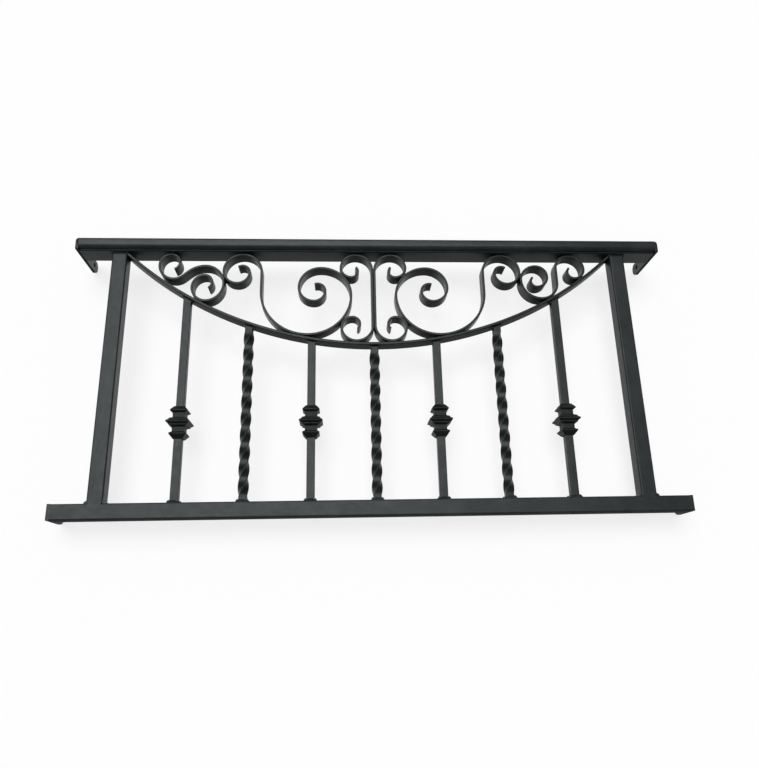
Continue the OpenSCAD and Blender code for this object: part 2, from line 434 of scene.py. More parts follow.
@dataclass(frozen=True)
class Panel:
    """Sizes that the whole panel shares, in millimetres."""

    length: float = 1000.0
    post_height: float = 424.0
    post_inset: float = 57.5
    tube_side: float = 25.0
    tube_wall: float = 2.0
    tube_corner: float = 2.6
    plate: float = 5.0
    bar_side: float = 13.0
    plain_bars: tuple[int, ...] = (1, 3, 5, 7)
    twisted_bars: tuple[int, ...] = (2, 4, 6)
    stock_depth: float = 25.0
    scroll_thick: float = 4.0
    weld_gap: float = 0.1

    @property
    def middle(self) -> float:
        """Place of the panel's middle along x."""
        return self.length / 2

    @property
    def half_clear(self) -> float:
        """Distance from the middle to the inner face of a post."""
        return self.middle - self.post_inset - self.tube_side

    @property
    def post_off(self) -> float:
        """Distance from the middle to a post's own middle."""
        return self.half_clear + self.tube_side / 2

    @property
    def rail_top(self) -> float:
        """Height of the bottom rail's top."""
        return self.tube_side / 2

    @property
    def under(self) -> float:
        """Height of the handrail's underside."""
        return self.rail_top + self.post_height

    @property
    def bar_count(self) -> int:
        """Number of bars."""
        return len(self.plain_bars) + len(self.twisted_bars)

    @property
    def scroll_unit(self) -> float:
        """A hundredth of the clear half width, in which the scrolls are drawn."""
        return self.half_clear / 100

    def bar_off(self, number: int) -> float:
        """Distance of a bar from the middle.

        Args:
            number: the bar, counted from 1 at the left.

        Returns:
            The distance, negative on the left.
        """
        pitch = 2 * self.half_clear / (self.bar_count + 1)
        return number * pitch - self.half_clear


@dataclass(frozen=True)
class BellyArc:
    """The arc of the belly bar: its top meets the handrail a little inside the posts."""

    panel: Panel
    drop: float = 163.0
    land: float = 3.0
    thick: float = 5.0

    @property
    def radius(self) -> float:
        """Radius of the belly bar's top."""
        half = self.panel.half_clear - self.land
        return (half * half + self.drop * self.drop) / (2 * self.drop)

    @property
    def low_radius(self) -> float:
        """Radius of the belly bar's underside."""
        return self.radius + self.thick

    @property
    def centre(self) -> Vector:
        """Middle of the arc."""
        return Vector((self.panel.middle, 0.0, self.panel.under - self.drop + self.radius))

    def slope(self, off: float) -> float:
        """Angle of the underside, at a distance from the panel's middle."""
        return math.asin(off / self.low_radius)

    def underside(self, off: float) -> float:
        """Height of the underside, at a distance from the panel's middle."""
        return self.centre.z - self.low_radius * math.cos(self.slope(off))

    def top(self, off: float) -> float:
        """Height of the top, at a distance from the panel's middle."""
        return self.centre.z - math.sqrt(self.radius**2 - off**2)


PANEL = Panel()
BELLY = BellyArc(PANEL)


class Workpiece:
    """A mesh in the making, in millimetres, that ends as one piece of the railing."""

    def __init__(self, name: str, finish: PaintFinish, stands_for: Iterable[str] = ()) -> None:
        """Starts an empty piece.

        Args:
            name: the piece's name.
            finish: its paint.
            stands_for: the solids that it replaces.
        """
        self.name = name
        self.finish = finish
        self.stands_for = tuple(stands_for)
        self.bm = bmesh.new()

    def block(self, low: Vector, high: Vector) -> list[bmesh.types.BMVert]:
        """Adds a box.

        Args:
            low: its lowest corner.
            high: its highest corner.

        Returns:
            The box's vertices.
        """
        place = Matrix.Translation((low + high) / 2) @ Matrix.Diagonal((*(high - low), 1.0))
        return bmesh.ops.create_cube(self.bm, size=1.0, matrix=place)["verts"]

    def open_block(self, low: Vector, high: Vector, axis: Vector) -> None:
        """Adds a box without its two end faces.

        Args:
            low: its lowest corner.
            high: its highest corner.
            axis: the direction in which it runs.
        """
        faces = {f for v in self.block(low, high) for f in v.link_faces}
        ends = [f for f in faces if abs(f.normal.dot(axis)) > PARALLEL]
        bmesh.ops.delete(self.bm, geom=ends, context="FACES_ONLY")

    def section(
        self, centre: Vector, across: Vector, along: Vector, size: tuple[float, float],
        corner: float
    ) -> list[bmesh.types.BMEdge]:
        """Adds a rectangle with rounded corners, as a loop of edges.

        Args:
            centre: its middle.
            across: direction of its first side.
            along: direction of its second side.
            size: lengths of the two sides.
            corner: radius of its corners.

        Returns:
            The loop's edges.
        """
        turn = Matrix((across, along, across.cross(along))).transposed().to_4x4()
        place = Matrix.Translation(centre) @ turn @ Matrix.Diagonal((*size, 1.0, 1.0))
        verts = bmesh.ops.create_grid(
            self.bm, x_segments=1, y_segments=1, size=0.5, matrix=place)["verts"]
        rounded = bmesh.ops.bevel(
            self.bm, geom=verts, offset=corner, offset_type="OFFSET", segments=CORNER_STEPS,
            profile=0.5, affect="VERTICES", material=-1, clamp_overlap=True)
        face = max((v.link_faces[0] for v in rounded["verts"]), key=lambda f: f.calc_area())
        edges = list(face.edges)
        bmesh.ops.delete(self.bm, geom=[face], context="FACES_ONLY")
        return edges

    def draw(self, edges: list[bmesh.types.BMEdge], step: Vector) -> list[bmesh.types.BMEdge]:
        """Draws a loop of edges out straight.

        Args:
            edges: the loop.
            step: how far it goes.

        Returns:
            The loop at the far end.
        """
        geom = bmesh.ops.extrude_edge_only(self.bm, edges=edges)["geom"]
        verts = [g for g in geom if isinstance(g, bmesh.types.BMVert)]
        bmesh.ops.translate(self.bm, verts=verts, vec=step)
        far = set(verts)
        return [
            g for g in geom
            if isinstance(g, bmesh.types.BMEdge) and all(v in far for v in g.verts)]

    def bend(
        self, edges: list[bmesh.types.BMEdge], centre: Vector, axis: Vector, angle: float,
        steps: int, rise: float = 0.0
    ) -> list[bmesh.types.BMEdge]:
        """Sweeps a loop of edges round an axis.

        Args:
            edges: the loop.
            centre: a point of the axis.
            axis: direction of the axis.
            angle: the turn, in radians.
            steps: number of steps.
            rise: shift along the axis in each step, for a twist.

        Returns:
            The loop at the far end.
        """
        verts = list(dict.fromkeys(v for e in edges for v in e.verts))
        last = bmesh.ops.spin(
            self.bm, geom=[*verts, *edges], cent=centre, axis=axis, dvec=axis * rise,
            angle=angle, steps=steps, use_merge=False, use_duplicate=False)["geom_last"]
        return [g for g in last if isinstance(g, bmesh.types.BMEdge)]

    def cap(self, edges: list[bmesh.types.BMEdge], rounding: float = 0.0) -> None:
        """Closes a loop with a face.

        Args:
            edges: the loop.
            rounding: radius of the end's edges.
        """
        bmesh.ops.contextual_create(self.bm, geom=edges)
        if rounding:
            self.ease(edges, rounding)

    def ease(
        self, edges: Iterable[bmesh.types.BMEdge], radius: float, segments: int = CORNER_STEPS
    ) -> None:
        """Rounds edges.

        Args:
            edges: the edges.
            radius: radius of the rounding.
            segments: faces across it.
        """
        bmesh.ops.bevel(
            self.bm, geom=list(edges), offset=radius, offset_type="OFFSET", segments=segments,
            profile=0.5, affect="EDGES", material=-1, clamp_overlap=True)

    def edges_along(self, axis: Vector) -> list[bmesh.types.BMEdge]:
        """Returns the edges that run along an axis."""
        return [
            e for e in self.bm.edges
            if abs((e.verts[1].co - e.verts[0].co).normalized().dot(axis)) > PARALLEL]

    def split(
        self, point: Vector, normal: Vector, clear: bool = False
    ) -> list[bmesh.types.BMEdge]:
        """Splits the faces that a plane passes through.

        Args:
            point: a point of the plane.
            normal: the plane's normal.
            clear: whether what lies beyond the plane goes.

        Returns:
            The edges that lie in the plane.
        """
        geom = [*self.bm.verts, *self.bm.edges, *self.bm.faces]
        rim = bmesh.ops.bisect_plane(
            self.bm, geom=geom, dist=ON_PLANE, plane_co=point, plane_no=normal,
            clear_outer=clear)["geom_cut"]
        return [g for g in rim if isinstance(g, bmesh.types.BMEdge)]

    def cut(self, point: Vector, outward: Vector) -> None:
        """Cuts off what lies outward of a plane through a point, and closes the end."""
        self.cap(self.split(point, outward, clear=True))

    def tube(self, low: Vector, high: Vector, axis: Vector, wall: float, corner: float) -> None:
        """Adds a hollow section with rounded corners and open ends.

        Args:
            low: its lowest corner.
            high: its highest corner.
            axis: the direction in which it runs.
            wall: thickness of its wall.
            corner: radius of its outer corners.
        """
        self.open_block(low, high, axis)
        self.ease(self.edges_along(axis), corner, TUBE_CORNER_STEPS)
        bmesh.ops.recalc_face_normals(self.bm, faces=self.bm.faces)
        bmesh.ops.solidify(self.bm, geom=self.bm.faces[:], thickness=wall)

    def done(self) -> bpy.types.Object:
        """Turns the mesh into an object that rides on the railing.

        Returns:
            The finished piece.
        """
        bmesh.ops.recalc_face_normals(self.bm, faces=self.bm.faces)
        bmesh.ops.scale(self.bm, vec=(MM, MM, MM), verts=self.bm.verts)
        mesh = bpy.data.meshes.new(self.name)
        self.bm.to_mesh(mesh)
        self.bm.free()
        mesh.shade_smooth()
        mesh.set_sharp_from_angle(angle=SHARP_ANGLE)
        mesh.materials.append(self.finish.material())
        piece = bpy.data.objects.new(self.name, mesh)
        bpy.context.scene.collection.objects.link(piece)
        even = piece.modifiers.new("even_shading", "WEIGHTED_NORMAL")
        even.keep_sharp = True
        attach(piece, BODY)
        if self.stands_for:
            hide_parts(*self.stands_for)
        return piece


@dataclass
class TubeFrame:
    """Bottom rail and posts: square tubes, the posts flush with the rail and ground smooth."""

    panel: Panel
    filler_rise: float = 0.05

    def build(self) -> list[bpy.types.Object]:
        """Returns the bottom rail and the two posts."""
        return [self._rail(), *(self._post(side) for side in Side)]

    def _rail(self) -> bpy.types.Object:
        """Makes the bottom rail.

        Returns:
            The finished piece.
        """
        panel, half = self.panel, self.panel.tube_side / 2
        piece = Workpiece("bottom_rail_tube", RAIL_PAINT, ["bottom_rail"])
        piece.tube(
            Vector((panel.plate, -half, -half)),
            Vector((panel.length - panel.plate, half, half)),
            X_AXIS, panel.tube_wall, panel.tube_corner)
        return piece.done()

    def _post(self, side: Side) -> bpy.types.Object:
        """Makes one post with the ground filler where its faces run into the rail's.

        Args:
            side: which end of the panel.

        Returns:
            The finished piece.
        """
        panel, half = self.panel, self.panel.tube_side / 2
        x = panel.middle + side.value * panel.post_off
        node = f"{side.name.lower()}_post"
        piece = Workpiece(f"{node}_tube", TUBE_PAINT, [node])
        piece.tube(
            Vector((x - half, -half, panel.rail_top)),
            Vector((x + half, half, panel.under)),
            Z_AXIS, panel.tube_wall, panel.tube_corner)
        flat = half - panel.tube_corner
        for face in (-1.0, 1.0):
            ends = sorted((face * flat, face * half))
            piece.block(
                Vector((x - flat, ends[0], panel.rail_top - panel.tube_corner)),
                Vector((x + flat, ends[1], panel.rail_top + self.filler_rise)))
        return piece.done()


@dataclass
class Handrail:
    """A flat bar with a round-edged cap on it, whose two lips hang beside the bar."""

    panel: Panel
    flat_wide: float = 38.0
    flat_thick: float = 5.0
    flat_edge: float = 2.2
    cap_wide: float = 52.0
    cap_tall: float = 22.0
    top_round: float = 4.5
    low_round: float = 12.0
    lip_gap: float = 43.0
    end_round: float = 8.0
    round_steps: int = 10

    @property
    def top(self) -> float:
        """Height of the cap's top."""
        return self.panel.under + self.cap_tall

    @property
    def middle(self) -> float:
        """Height of the cap's middle."""
        return self.panel.under + self.cap_tall / 2

    def build(self) -> list[bpy.types.Object]:
        """Returns the flat bar and the cap."""
        return [self._flat(), self._cap()]

    def _flat(self) -> bpy.types.Object:
        """Makes the flat bar.

        Returns:
            The finished piece.
        """
        panel, half = self.panel, self.flat_wide / 2
        piece = Workpiece("handrail_flat_bar", FLAT_PAINT, ["handrail_flat"])
        piece.block(
            Vector((panel.plate, -half, panel.under)),
            Vector((panel.length - panel.plate, half, panel.under + self.flat_thick)))
        piece.ease(piece.edges_along(X_AXIS), self.flat_edge)
        return piece.done()

    def _cap(self) -> bpy.types.Object:
        """Makes the cap: a round-edged moulding with a channel for the flat bar.

        Returns:
            The finished piece.
        """
        panel, half = self.panel, self.cap_wide / 2
        piece = Workpiece("handrail_cap_moulding", CAP_PAINT, ["handrail_cap"])
        piece.open_block(
            Vector((panel.plate, -half, panel.under)),
            Vector((panel.length - panel.plate, half, self.top)), X_AXIS)
        long_edges = piece.edges_along(X_AXIS)
        upper = [e for e in long_edges if e.verts[0].co.z > self.middle]
        lower = [e for e in long_edges if e.verts[0].co.z < self.middle]
        piece.ease(upper, self.top_round, self.round_steps)
        piece.ease(lower, self.low_round, self.round_steps)
        self._channel(piece)
        self._shoulders(piece)
        return piece.done()

    def _channel(self, piece: Workpiece) -> None:
        """Opens the cap from below for the flat bar and closes its ends.

        Args:
            piece: the cap in the making.
        """
        half = self.lip_gap / 2
        for off in (-half, half):
            piece.split(Y_AXIS * off, Y_AXIS)
        mouth = [
            f for f in piece.bm.faces
            if abs(f.calc_center_median().y) < half and f.calc_center_median().z < self.middle]
        bmesh.ops.delete(piece.bm, geom=mouth, context="FACES")
        lips = [e for e in piece.edges_along(X_AXIS) if e.is_boundary]
        rise = self.panel.under + self.flat_thick - lips[0].verts[0].co.z
        piece.cap(piece.draw(lips, Z_AXIS * rise))
        rims = [e for e in piece.bm.edges if e.is_boundary]
        bmesh.ops.holes_fill(piece.bm, edges=rims, sides=0)

    def _shoulders(self, piece: Workpiece) -> None:
        """Slants the cap's top at both ends, to meet the rounded end plates.

        Args:
            piece: the cap in the making.
        """
        panel = self.panel
        run = self.end_round - panel.plate
        fall = self.end_round - math.sqrt(self.end_round**2 - run**2)
        for side in Side:
            x = panel.middle + side.value * (panel.middle - self.end_round)
            piece.cut(Vector((x, 0.0, self.top)), Vector((side.value * fall, 0.0, run)))


@dataclass
class EndPlates:
    """Plates that close the rails, each with a tail and a fixing hole."""

    panel: Panel
    lower_edge: float = 1.0
    hole_edge: float = 0.5
    hole_radius: float = 4.5
    hole_in: float = 18.0
    edge_room: float = 0.5
    flat_angle: float = math.radians(1.0)
    sharp_angle: float = math.radians(40.0)

    def build(self) -> list[bpy.types.Object]:
        """Makes the four plates from their solids; the upper ones are rounded already.

        Returns:
            The finished pieces.
        """
        pieces = []
        for side in Side:
            name = side.name.lower()
            pieces.append(self._plate(f"{name}_lower_lug", side, self.lower_edge))
            pieces.append(self._plate(f"{name}_upper_lug", side))
        return pieces

    def _plate(self, node: str, side: Side, edge: float = 0.0) -> bpy.types.Object:
        """Makes one plate.

        Args:
            node: the solid that it stands for.
            side: the end of the panel that it closes.
            edge: rounding of the outer face's edges.

        Returns:
            The finished piece.
        """
        piece = Workpiece(f"{node}_plate", TUBE_PAINT, [node])
        piece.bm.from_mesh(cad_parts[node].data)
        bmesh.ops.scale(piece.bm, vec=(1 / MM, 1 / MM, 1 / MM), verts=piece.bm.verts)
        bmesh.ops.remove_doubles(piece.bm, verts=piece.bm.verts, dist=SAME_POINT)
        bmesh.ops.dissolve_limit(
            piece.bm, angle_limit=self.flat_angle, verts=piece.bm.verts, edges=piece.bm.edges)
        outer = 0.0 if side is Side.LEFT else self.panel.length
        rim = [
            e for e in piece.bm.edges
            if len(e.link_faces) == 2 and e.calc_face_angle() > self.sharp_angle
            and all(abs(v.co.x - outer) < SAME_POINT for v in e.verts)]
        low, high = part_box(node)
        hole = Vector((outer, high.y / MM - self.hole_in, (low.z + high.z) / 2 / MM))
        in_hole = [
            e for e in rim
            if all((v.co - hole).length < self.hole_radius + self.edge_room for v in e.verts)]
        if edge:
            piece.ease([e for e in rim if e not in in_hole], edge)
        piece.ease([e for e in in_hole if e.is_valid], self.hole_edge)
        return piece.done()


@dataclass
class BellyBar:
    """Flat bar bent to one arc, hanging under the handrail from post to post."""

    panel: Panel
    arc: BellyArc
    edge: float = 1.3
    over: float = 12.0
    steps: int = 120

    def build(self) -> list[bpy.types.Object]:
        """Sweeps the bar's section along its arc and trims its tips.

        Returns:
            The finished piece.
        """
        panel, arc = self.panel, self.arc
        piece = Workpiece("belly_flat_bar", FORGED_SHADED_PAINT, ["belly_bar"])
        reach = math.asin((panel.half_clear + self.over) / arc.low_radius)
        middle = arc.radius + arc.thick / 2
        out = direction(-math.pi / 2 - reach)
        loop = piece.section(
            arc.centre + out * middle, out, Y_AXIS, (arc.thick, panel.stock_depth), self.edge)
        piece.bend(loop, arc.centre, -Y_AXIS, 2 * reach, self.steps)
        for side in Side:
            end = Vector((panel.middle + side.value * panel.half_clear, 0.0, panel.under))
            piece.cut(end, X_AXIS * side.value)
        piece.cut(Vector((panel.middle, 0.0, panel.under)), Z_AXIS)
        return [piece.done()]


@dataclass
class SquareBars:
    """The row of square bars, plain and twisted in turn, cut to the belly bar's slant."""

    panel: Panel
    arc: BellyArc
    edge: float = 0.9
    twist_edge: float = 1.3
    quarter_turn: float = 28.0
    plain_end: float = 8.0
    turn_steps: int = 12
    spare: float = 10.0

    def build(self) -> list[bpy.types.Object]:
        """Makes the plain and then the twisted bars.

        Returns:
            The finished pieces.
        """
        panel, pieces = self.panel, []
        for count, number in enumerate(panel.plain_bars, start=1):
            pieces.append(self._plain(f"plain_bar_{count}", panel.bar_off(number)))
        for count, number in enumerate(panel.twisted_bars, start=1):
            pieces.append(self._twisted(f"twisted_bar_{count}", panel.bar_off(number)))
        return pieces

    def _trim(self, piece: Workpiece, off: float) -> None:
        """Cuts a bar's top along the belly bar's underside.

        Args:
            piece: the bar.
            off: its distance from the panel's middle.
        """
        slope = self.arc.slope(off)
        gap = self.panel.weld_gap / math.cos(slope)
        point = Vector((self.panel.middle + off, 0.0, self.arc.underside(off) - gap))
        piece.cut(point, direction(slope + math.pi / 2))

    def _plain(self, node: str, off: float) -> bpy.types.Object:
        """Makes one plain bar.

        Args:
            node: the solid that it stands for.
            off: its distance from the panel's middle.

        Returns:
            The finished piece.
        """
        panel, half = self.panel, self.panel.bar_side / 2
        piece = Workpiece(f"{node}_square", BAR_PAINT, [node])
        x = panel.middle + off
        loop = piece.section(
            Vector((x, 0.0, panel.rail_top)), X_AXIS, Y_AXIS, (2 * half, 2 * half), self.edge)
        top = piece.draw(loop, Z_AXIS * (self.arc.underside(off) + self.spare - panel.rail_top))
        piece.cap(loop)
        piece.cap(top)
        self._trim(piece, off)
        return piece.done()

    def _twisted(self, node: str, off: float) -> bpy.types.Object:
        """Makes one twisted bar, in whole quarter turns between its plain ends.

        Args:
            node: the solid that it stands for.
            off: its distance from the panel's middle.

        Returns:
            The finished piece.
        """
        panel, half = self.panel, self.panel.bar_side / 2
        piece = Workpiece(f"{node}_twist", TWIST_SHADED_PAINT, [node])
        x = panel.middle + off
        slope = self.arc.slope(off)
        low = panel.rail_top + self.plain_end
        top = self.arc.underside(off) - panel.weld_gap
        high = top - abs(math.tan(slope)) * half - self.plain_end
        quarters = round((high - low) / self.quarter_turn)
        steps = quarters * self.turn_steps
        loop = piece.section(
            Vector((x, 0.0, panel.rail_top)), X_AXIS, Y_AXIS, (2 * half, 2 * half),
            self.twist_edge)
        end = piece.draw(loop, Z_AXIS * self.plain_end)
        end = piece.bend(
            end, Vector((x, 0.0, low)), Z_AXIS, quarters * math.pi / 2, steps,
            rise=(high - low) / steps)
        end = piece.draw(end, Z_AXIS * (top - high + self.spare))
        piece.cap(loop)
        piece.cap(end)
        self._trim(piece, off)
        return piece.done()


@dataclass
class Collars:
    """Cast square collars on the plain bars: a sharp, stepped ring between two lips.

    Step span is where the ring's step stands, and lip slope how much of the lip its
    slanting underside takes, as shares of their heights.
    """

    panel: Panel
    height: float = 53.0
    middle: float = 139.5
    ring: float = 16.0
    lip: float = 11.0
    ring_wall: float = 12.0
    lip_wall: float = 7.0
    neck_wall: float = 3.0
    rim: float = 1.5
    step: float = 4.0
    step_span: tuple[float, float] = (1 / 4, 1 / 3)
    lip_slope: float = 1 / 4
    blunt: float = 1.4
    play: float = 0.2
    edge: float = 0.3
    edge_steps: int = 2
    sides: int = 4
    crease: float = math.radians(12.0)

    def build(self) -> list[bpy.types.Object]:
        """Returns one collar for each plain bar."""
        return [
            self._collar(f"collar_{count}", self.panel.middle + self.panel.bar_off(number))
            for count, number in enumerate(self.panel.plain_bars, start=1)]

    @property
    def bore(self) -> float:
        """Half width of the collar's square bore."""
        return self.panel.bar_side / 2 + self.play

    def _outline(self) -> list[tuple[float, float]]:
        """Draws the upper half of the outline, from the middle up.

        Returns:
            Its points: half width and height.
        """
        bore, half = self.bore, self.height / 2
        under_lip = half - self.lip * (1 - self.lip_slope)
        return [
            (bore + self.ring_wall, self.blunt / 2),
            *((bore + self.ring_wall - self.step, self.ring * share) for share in self.step_span),
            (bore + self.neck_wall, self.ring / 2),
            (bore + self.neck_wall, half - self.lip),
            (bore + self.lip_wall, under_lip),
            (bore + self.lip_wall, under_lip + self.blunt),
            (bore + self.rim, half)]

    def _collar(self, node: str, x: float) -> bpy.types.Object:
        """Makes one collar: its outline is turned round the bar in four mitred sides.

        Args:
            node: the solid that it stands for.
            x: place of the bar.

        Returns:
            The finished piece.
        """
        piece = Workpiece(f"{node}_casting", CAST_SHADED_PAINT, [node])
        upper, bore = self._outline(), self.bore
        points = [(w, -h) for w, h in reversed(upper)] + upper
        points += [(bore, self.height / 2), (bore, -self.height / 2)]
        verts = [piece.bm.verts.new((x + w, w, self.middle + h)) for w, h in points]
        edges = [piece.bm.edges.new(pair) for pair in zip(verts, verts[1:] + verts[:1])]
        bmesh.ops.spin(
            piece.bm, geom=[*verts, *edges], cent=(x, 0.0, self.middle), axis=Z_AXIS,
            angle=2 * math.pi, steps=self.sides, use_merge=True, use_duplicate=False)
        bmesh.ops.remove_doubles(piece.bm, verts=piece.bm.verts, dist=SAME_POINT)
        bmesh.ops.recalc_face_normals(piece.bm, faces=piece.bm.faces)
        outer = [
            e for e in piece.bm.edges
            if e.calc_face_angle(0.0) > self.crease
            and all(max(abs(v.co.x - x), abs(v.co.y)) > bore + self.rim / 2 for v in e.verts)]
        piece.ease(outer, self.edge, self.edge_steps)
        return piece.done()


Legs = tuple[tuple[float, ...], ...]


@dataclass(frozen=True)
class ScrollDrawing:
    """One scroll, drawn both ways from the point where it hangs under the handrail.

    A leg is (radius, turn) or (length,), in the panel's scroll unit and degrees;
    left turns are positive.
    """

    node: str
    off: float
    left: Legs
    right: Legs

    @staticmethod
    def _swapped(legs: Legs) -> Legs:
        """Turns every arc the other way."""
        return tuple((leg[0], -leg[1]) if len(leg) == 2 else leg for leg in legs)

    def mirrored(self, node: str) -> "ScrollDrawing":
        """Returns the same scroll, for a node on the other side of the panel."""
        return ScrollDrawing(
            node, -self.off, self._swapped(self.right), self._swapped(self.left))


C_BACK: Legs = (
    (6.8, 90), (25.4,), (6.6, 90), (6, 90), (4.4, 90), (3, 90), (2.7, 50))
C_INNER: Legs = ((6, -90), (4.3, -90), (2.7, -90), (2.4, -50))
LARGE_INNER: Legs = ((7.6, 90), (5.5, 90), (5, 90), (2.9, 90), (3, 35))
LARGE_OUTER: Legs = (
    (7.7, -90), (9.3,), (18.9, 90), (17.5, 90), (12.3, 90), (8.9, 90), (6.1, 90),
    (4.6, 90), (3.2, 90), (2.5, 25))
SMALL_LEFT_OUTER: Legs = (
    (4.5, 90), (5.9, 129), (2.8,), (10.7, -39), (7.5, -90), (7, -90), (5.6, -90),
    (5, -90), (3, -90), (2.6, -65))
SMALL_LEFT_INNER: Legs = ((3.6, -90), (2.8, -75))
SMALL_RIGHT_OUTER: Legs = (
    (5.8, 90), (6.5,), (7, -90), (8.1, -90), (6.4, -90), (4.7, -90), (4.6, -90),
    (2.4, -90), (2.4, -50))
SMALL_RIGHT_INNER: Legs = ((6, -90), (4.2, -90), (2.8, -90), (2.4, -50))


@dataclass
class Scrolls:
    """Flat strips rolled to scrolls between the handrail and the belly bar."""

    panel: Panel
    edge: float = 0.9
    tip_edge: float = 0.6
    step: float = math.radians(5.0)
    large_place: float = 52.3
    small_place: float = 80.3

    def drawings(self) -> list[ScrollDrawing]:
        """Places the six scrolls; the small ones are not mirror images.

        Returns:
            The drawings, in the order in which they are made.
        """
        thick, unit = self.panel.scroll_thick, self.panel.scroll_unit
        c_off = C_BACK[0][0] * unit + thick / 2 + self.panel.weld_gap
        large_off = self.large_place * unit + thick
        small_off = self.small_place * unit + 2 * thick
        c_right = ScrollDrawing("right_c_scroll", c_off, C_BACK, C_INNER)
        large_left = ScrollDrawing("left_large_scroll", -large_off, LARGE_INNER, LARGE_OUTER)
        return [
            c_right, c_right.mirrored("left_c_scroll"),
            large_left, large_left.mirrored("right_large_scroll"),
            ScrollDrawing("left_small_scroll", -small_off, SMALL_LEFT_OUTER, SMALL_LEFT_INNER),
            ScrollDrawing("right_small_scroll", small_off, SMALL_RIGHT_OUTER, SMALL_RIGHT_INNER)]

    def build(self) -> list[bpy.types.Object]:
        """Returns the six scrolls."""
        return [self._scroll(drawing) for drawing in self.drawings()]

    def _scroll(self, drawing: ScrollDrawing) -> bpy.types.Object:
        """Makes one scroll and stretches it in height to stand where its solid stands.

        Args:
            drawing: the scroll.

        Returns:
            The finished piece.
        """
        panel = self.panel
        thick = panel.scroll_thick
        piece = Workpiece(f"{drawing.node}_strip", FORGED_SHADED_PAINT, [drawing.node])
        weld = Vector((
            panel.middle + drawing.off, 0.0, panel.under - panel.weld_gap - thick / 2))
        loop = piece.section(weld, Z_AXIS, Y_AXIS, (thick, panel.stock_depth), self.edge)
        tips = [
            self._run(piece, loop, weld, math.pi, drawing.left),
            self._run(piece, loop, weld, 0.0, drawing.right)]
        low = min(v.co.z for v in piece.bm.verts) + thick / 2
        solid_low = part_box(drawing.node)[0].z / MM + thick / 2
        stretch = (weld.z - solid_low) / (weld.z - low)
        bmesh.ops.scale(
            piece.bm, vec=(1.0, 1.0, stretch), space=Matrix.Translation(-weld),
            verts=piece.bm.verts)
        for tip in tips:
            piece.cap(tip, self.tip_edge)
        return piece.done()

    def _run(
        self, piece: Workpiece, loop: list[bmesh.types.BMEdge], start: Vector, heading: float,
        legs: Legs
    ) -> list[bmesh.types.BMEdge]:
        """Draws the strip along some legs.

        Args:
            piece: the scroll in the making.
            loop: the strip's section at the start.
            start: the middle of that section.
            heading: the direction at the start, from +x towards +z.
            legs: the legs.

        Returns:
            The section at the tip.
        """
        spot = start.copy()
        for leg in legs:
            size = leg[0] * self.panel.scroll_unit
            if len(leg) == 1:
                step = direction(heading) * size
                loop = piece.draw(loop, step)
                spot += step
                continue
            turn = math.radians(leg[1])
            inward = heading + math.copysign(math.pi / 2, turn)
            centre = spot + direction(inward) * size
            loop = piece.bend(
                loop, centre, -Y_AXIS, turn, max(1, math.ceil(abs(turn) / self.step)))
            heading += turn
            outward = heading - math.copysign(math.pi / 2, turn)
            spot = centre + direction(outward) * size
        return loop


@dataclass(frozen=True)
class Bead:
    """A run of weld: a rod of flat oval section with ripples, sunk into a corner.

    Wide and thick are half widths; run and flat are unit directions. Valley and
    tip are the bead's size between two ripples and at its ends.
    """

    centre: Vector
    run: Vector
    flat: Vector
    length: float
    wide: float
    thick: float
    ripple: float = 2.2
    valley: float = 0.88
    tip: float = 0.45
    around: int = 12
    least_steps: int = 4

    def add_to(self, piece: Workpiece) -> None:
        """Adds the bead to a piece.

        Args:
            piece: the piece that collects the welds.
        """
        count = max(self.least_steps, round(self.length / self.ripple) * 2)
        step = self.run * (self.length / count)
        start = self.centre - self.run * (self.length / 2)
        turn = Matrix((self.flat, self.run.cross(self.flat), self.run)).transposed().to_4x4()
        size = Matrix.Diagonal((self.wide, self.thick, 1.0, 1.0))
        verts = bmesh.ops.create_circle(
            piece.bm, segments=self.around, radius=1.0,
            matrix=Matrix.Translation(start) @ turn @ size)["verts"]
        first = loop = list(dict.fromkeys(e for v in verts for e in v.link_edges))
        spot = start.copy()
        before = 1.0
        for number in range(1, count + 1):
            loop = piece.draw(loop, step)
            spot += step
            now = 1.0 if number % 2 else self.valley
            self._swell(piece, loop, spot, now / before)
            before = now
        for rim, point in ((first, start), (loop, spot)):
            end = piece.draw(rim, Vector())
            self._swell(piece, end, point, self.tip)
            piece.cap(end)

    @staticmethod
    def _swell(
        piece: Workpiece, loop: list[bmesh.types.BMEdge], spot: Vector, factor: float
    ) -> None:
        """Makes a loop of the bead larger or smaller about its middle."""
        verts = list(dict.fromkeys(v for e in loop for v in e.verts))
        bmesh.ops.scale(
            piece.bm, vec=(factor, factor, factor), space=Matrix.Translation(-spot), verts=verts)


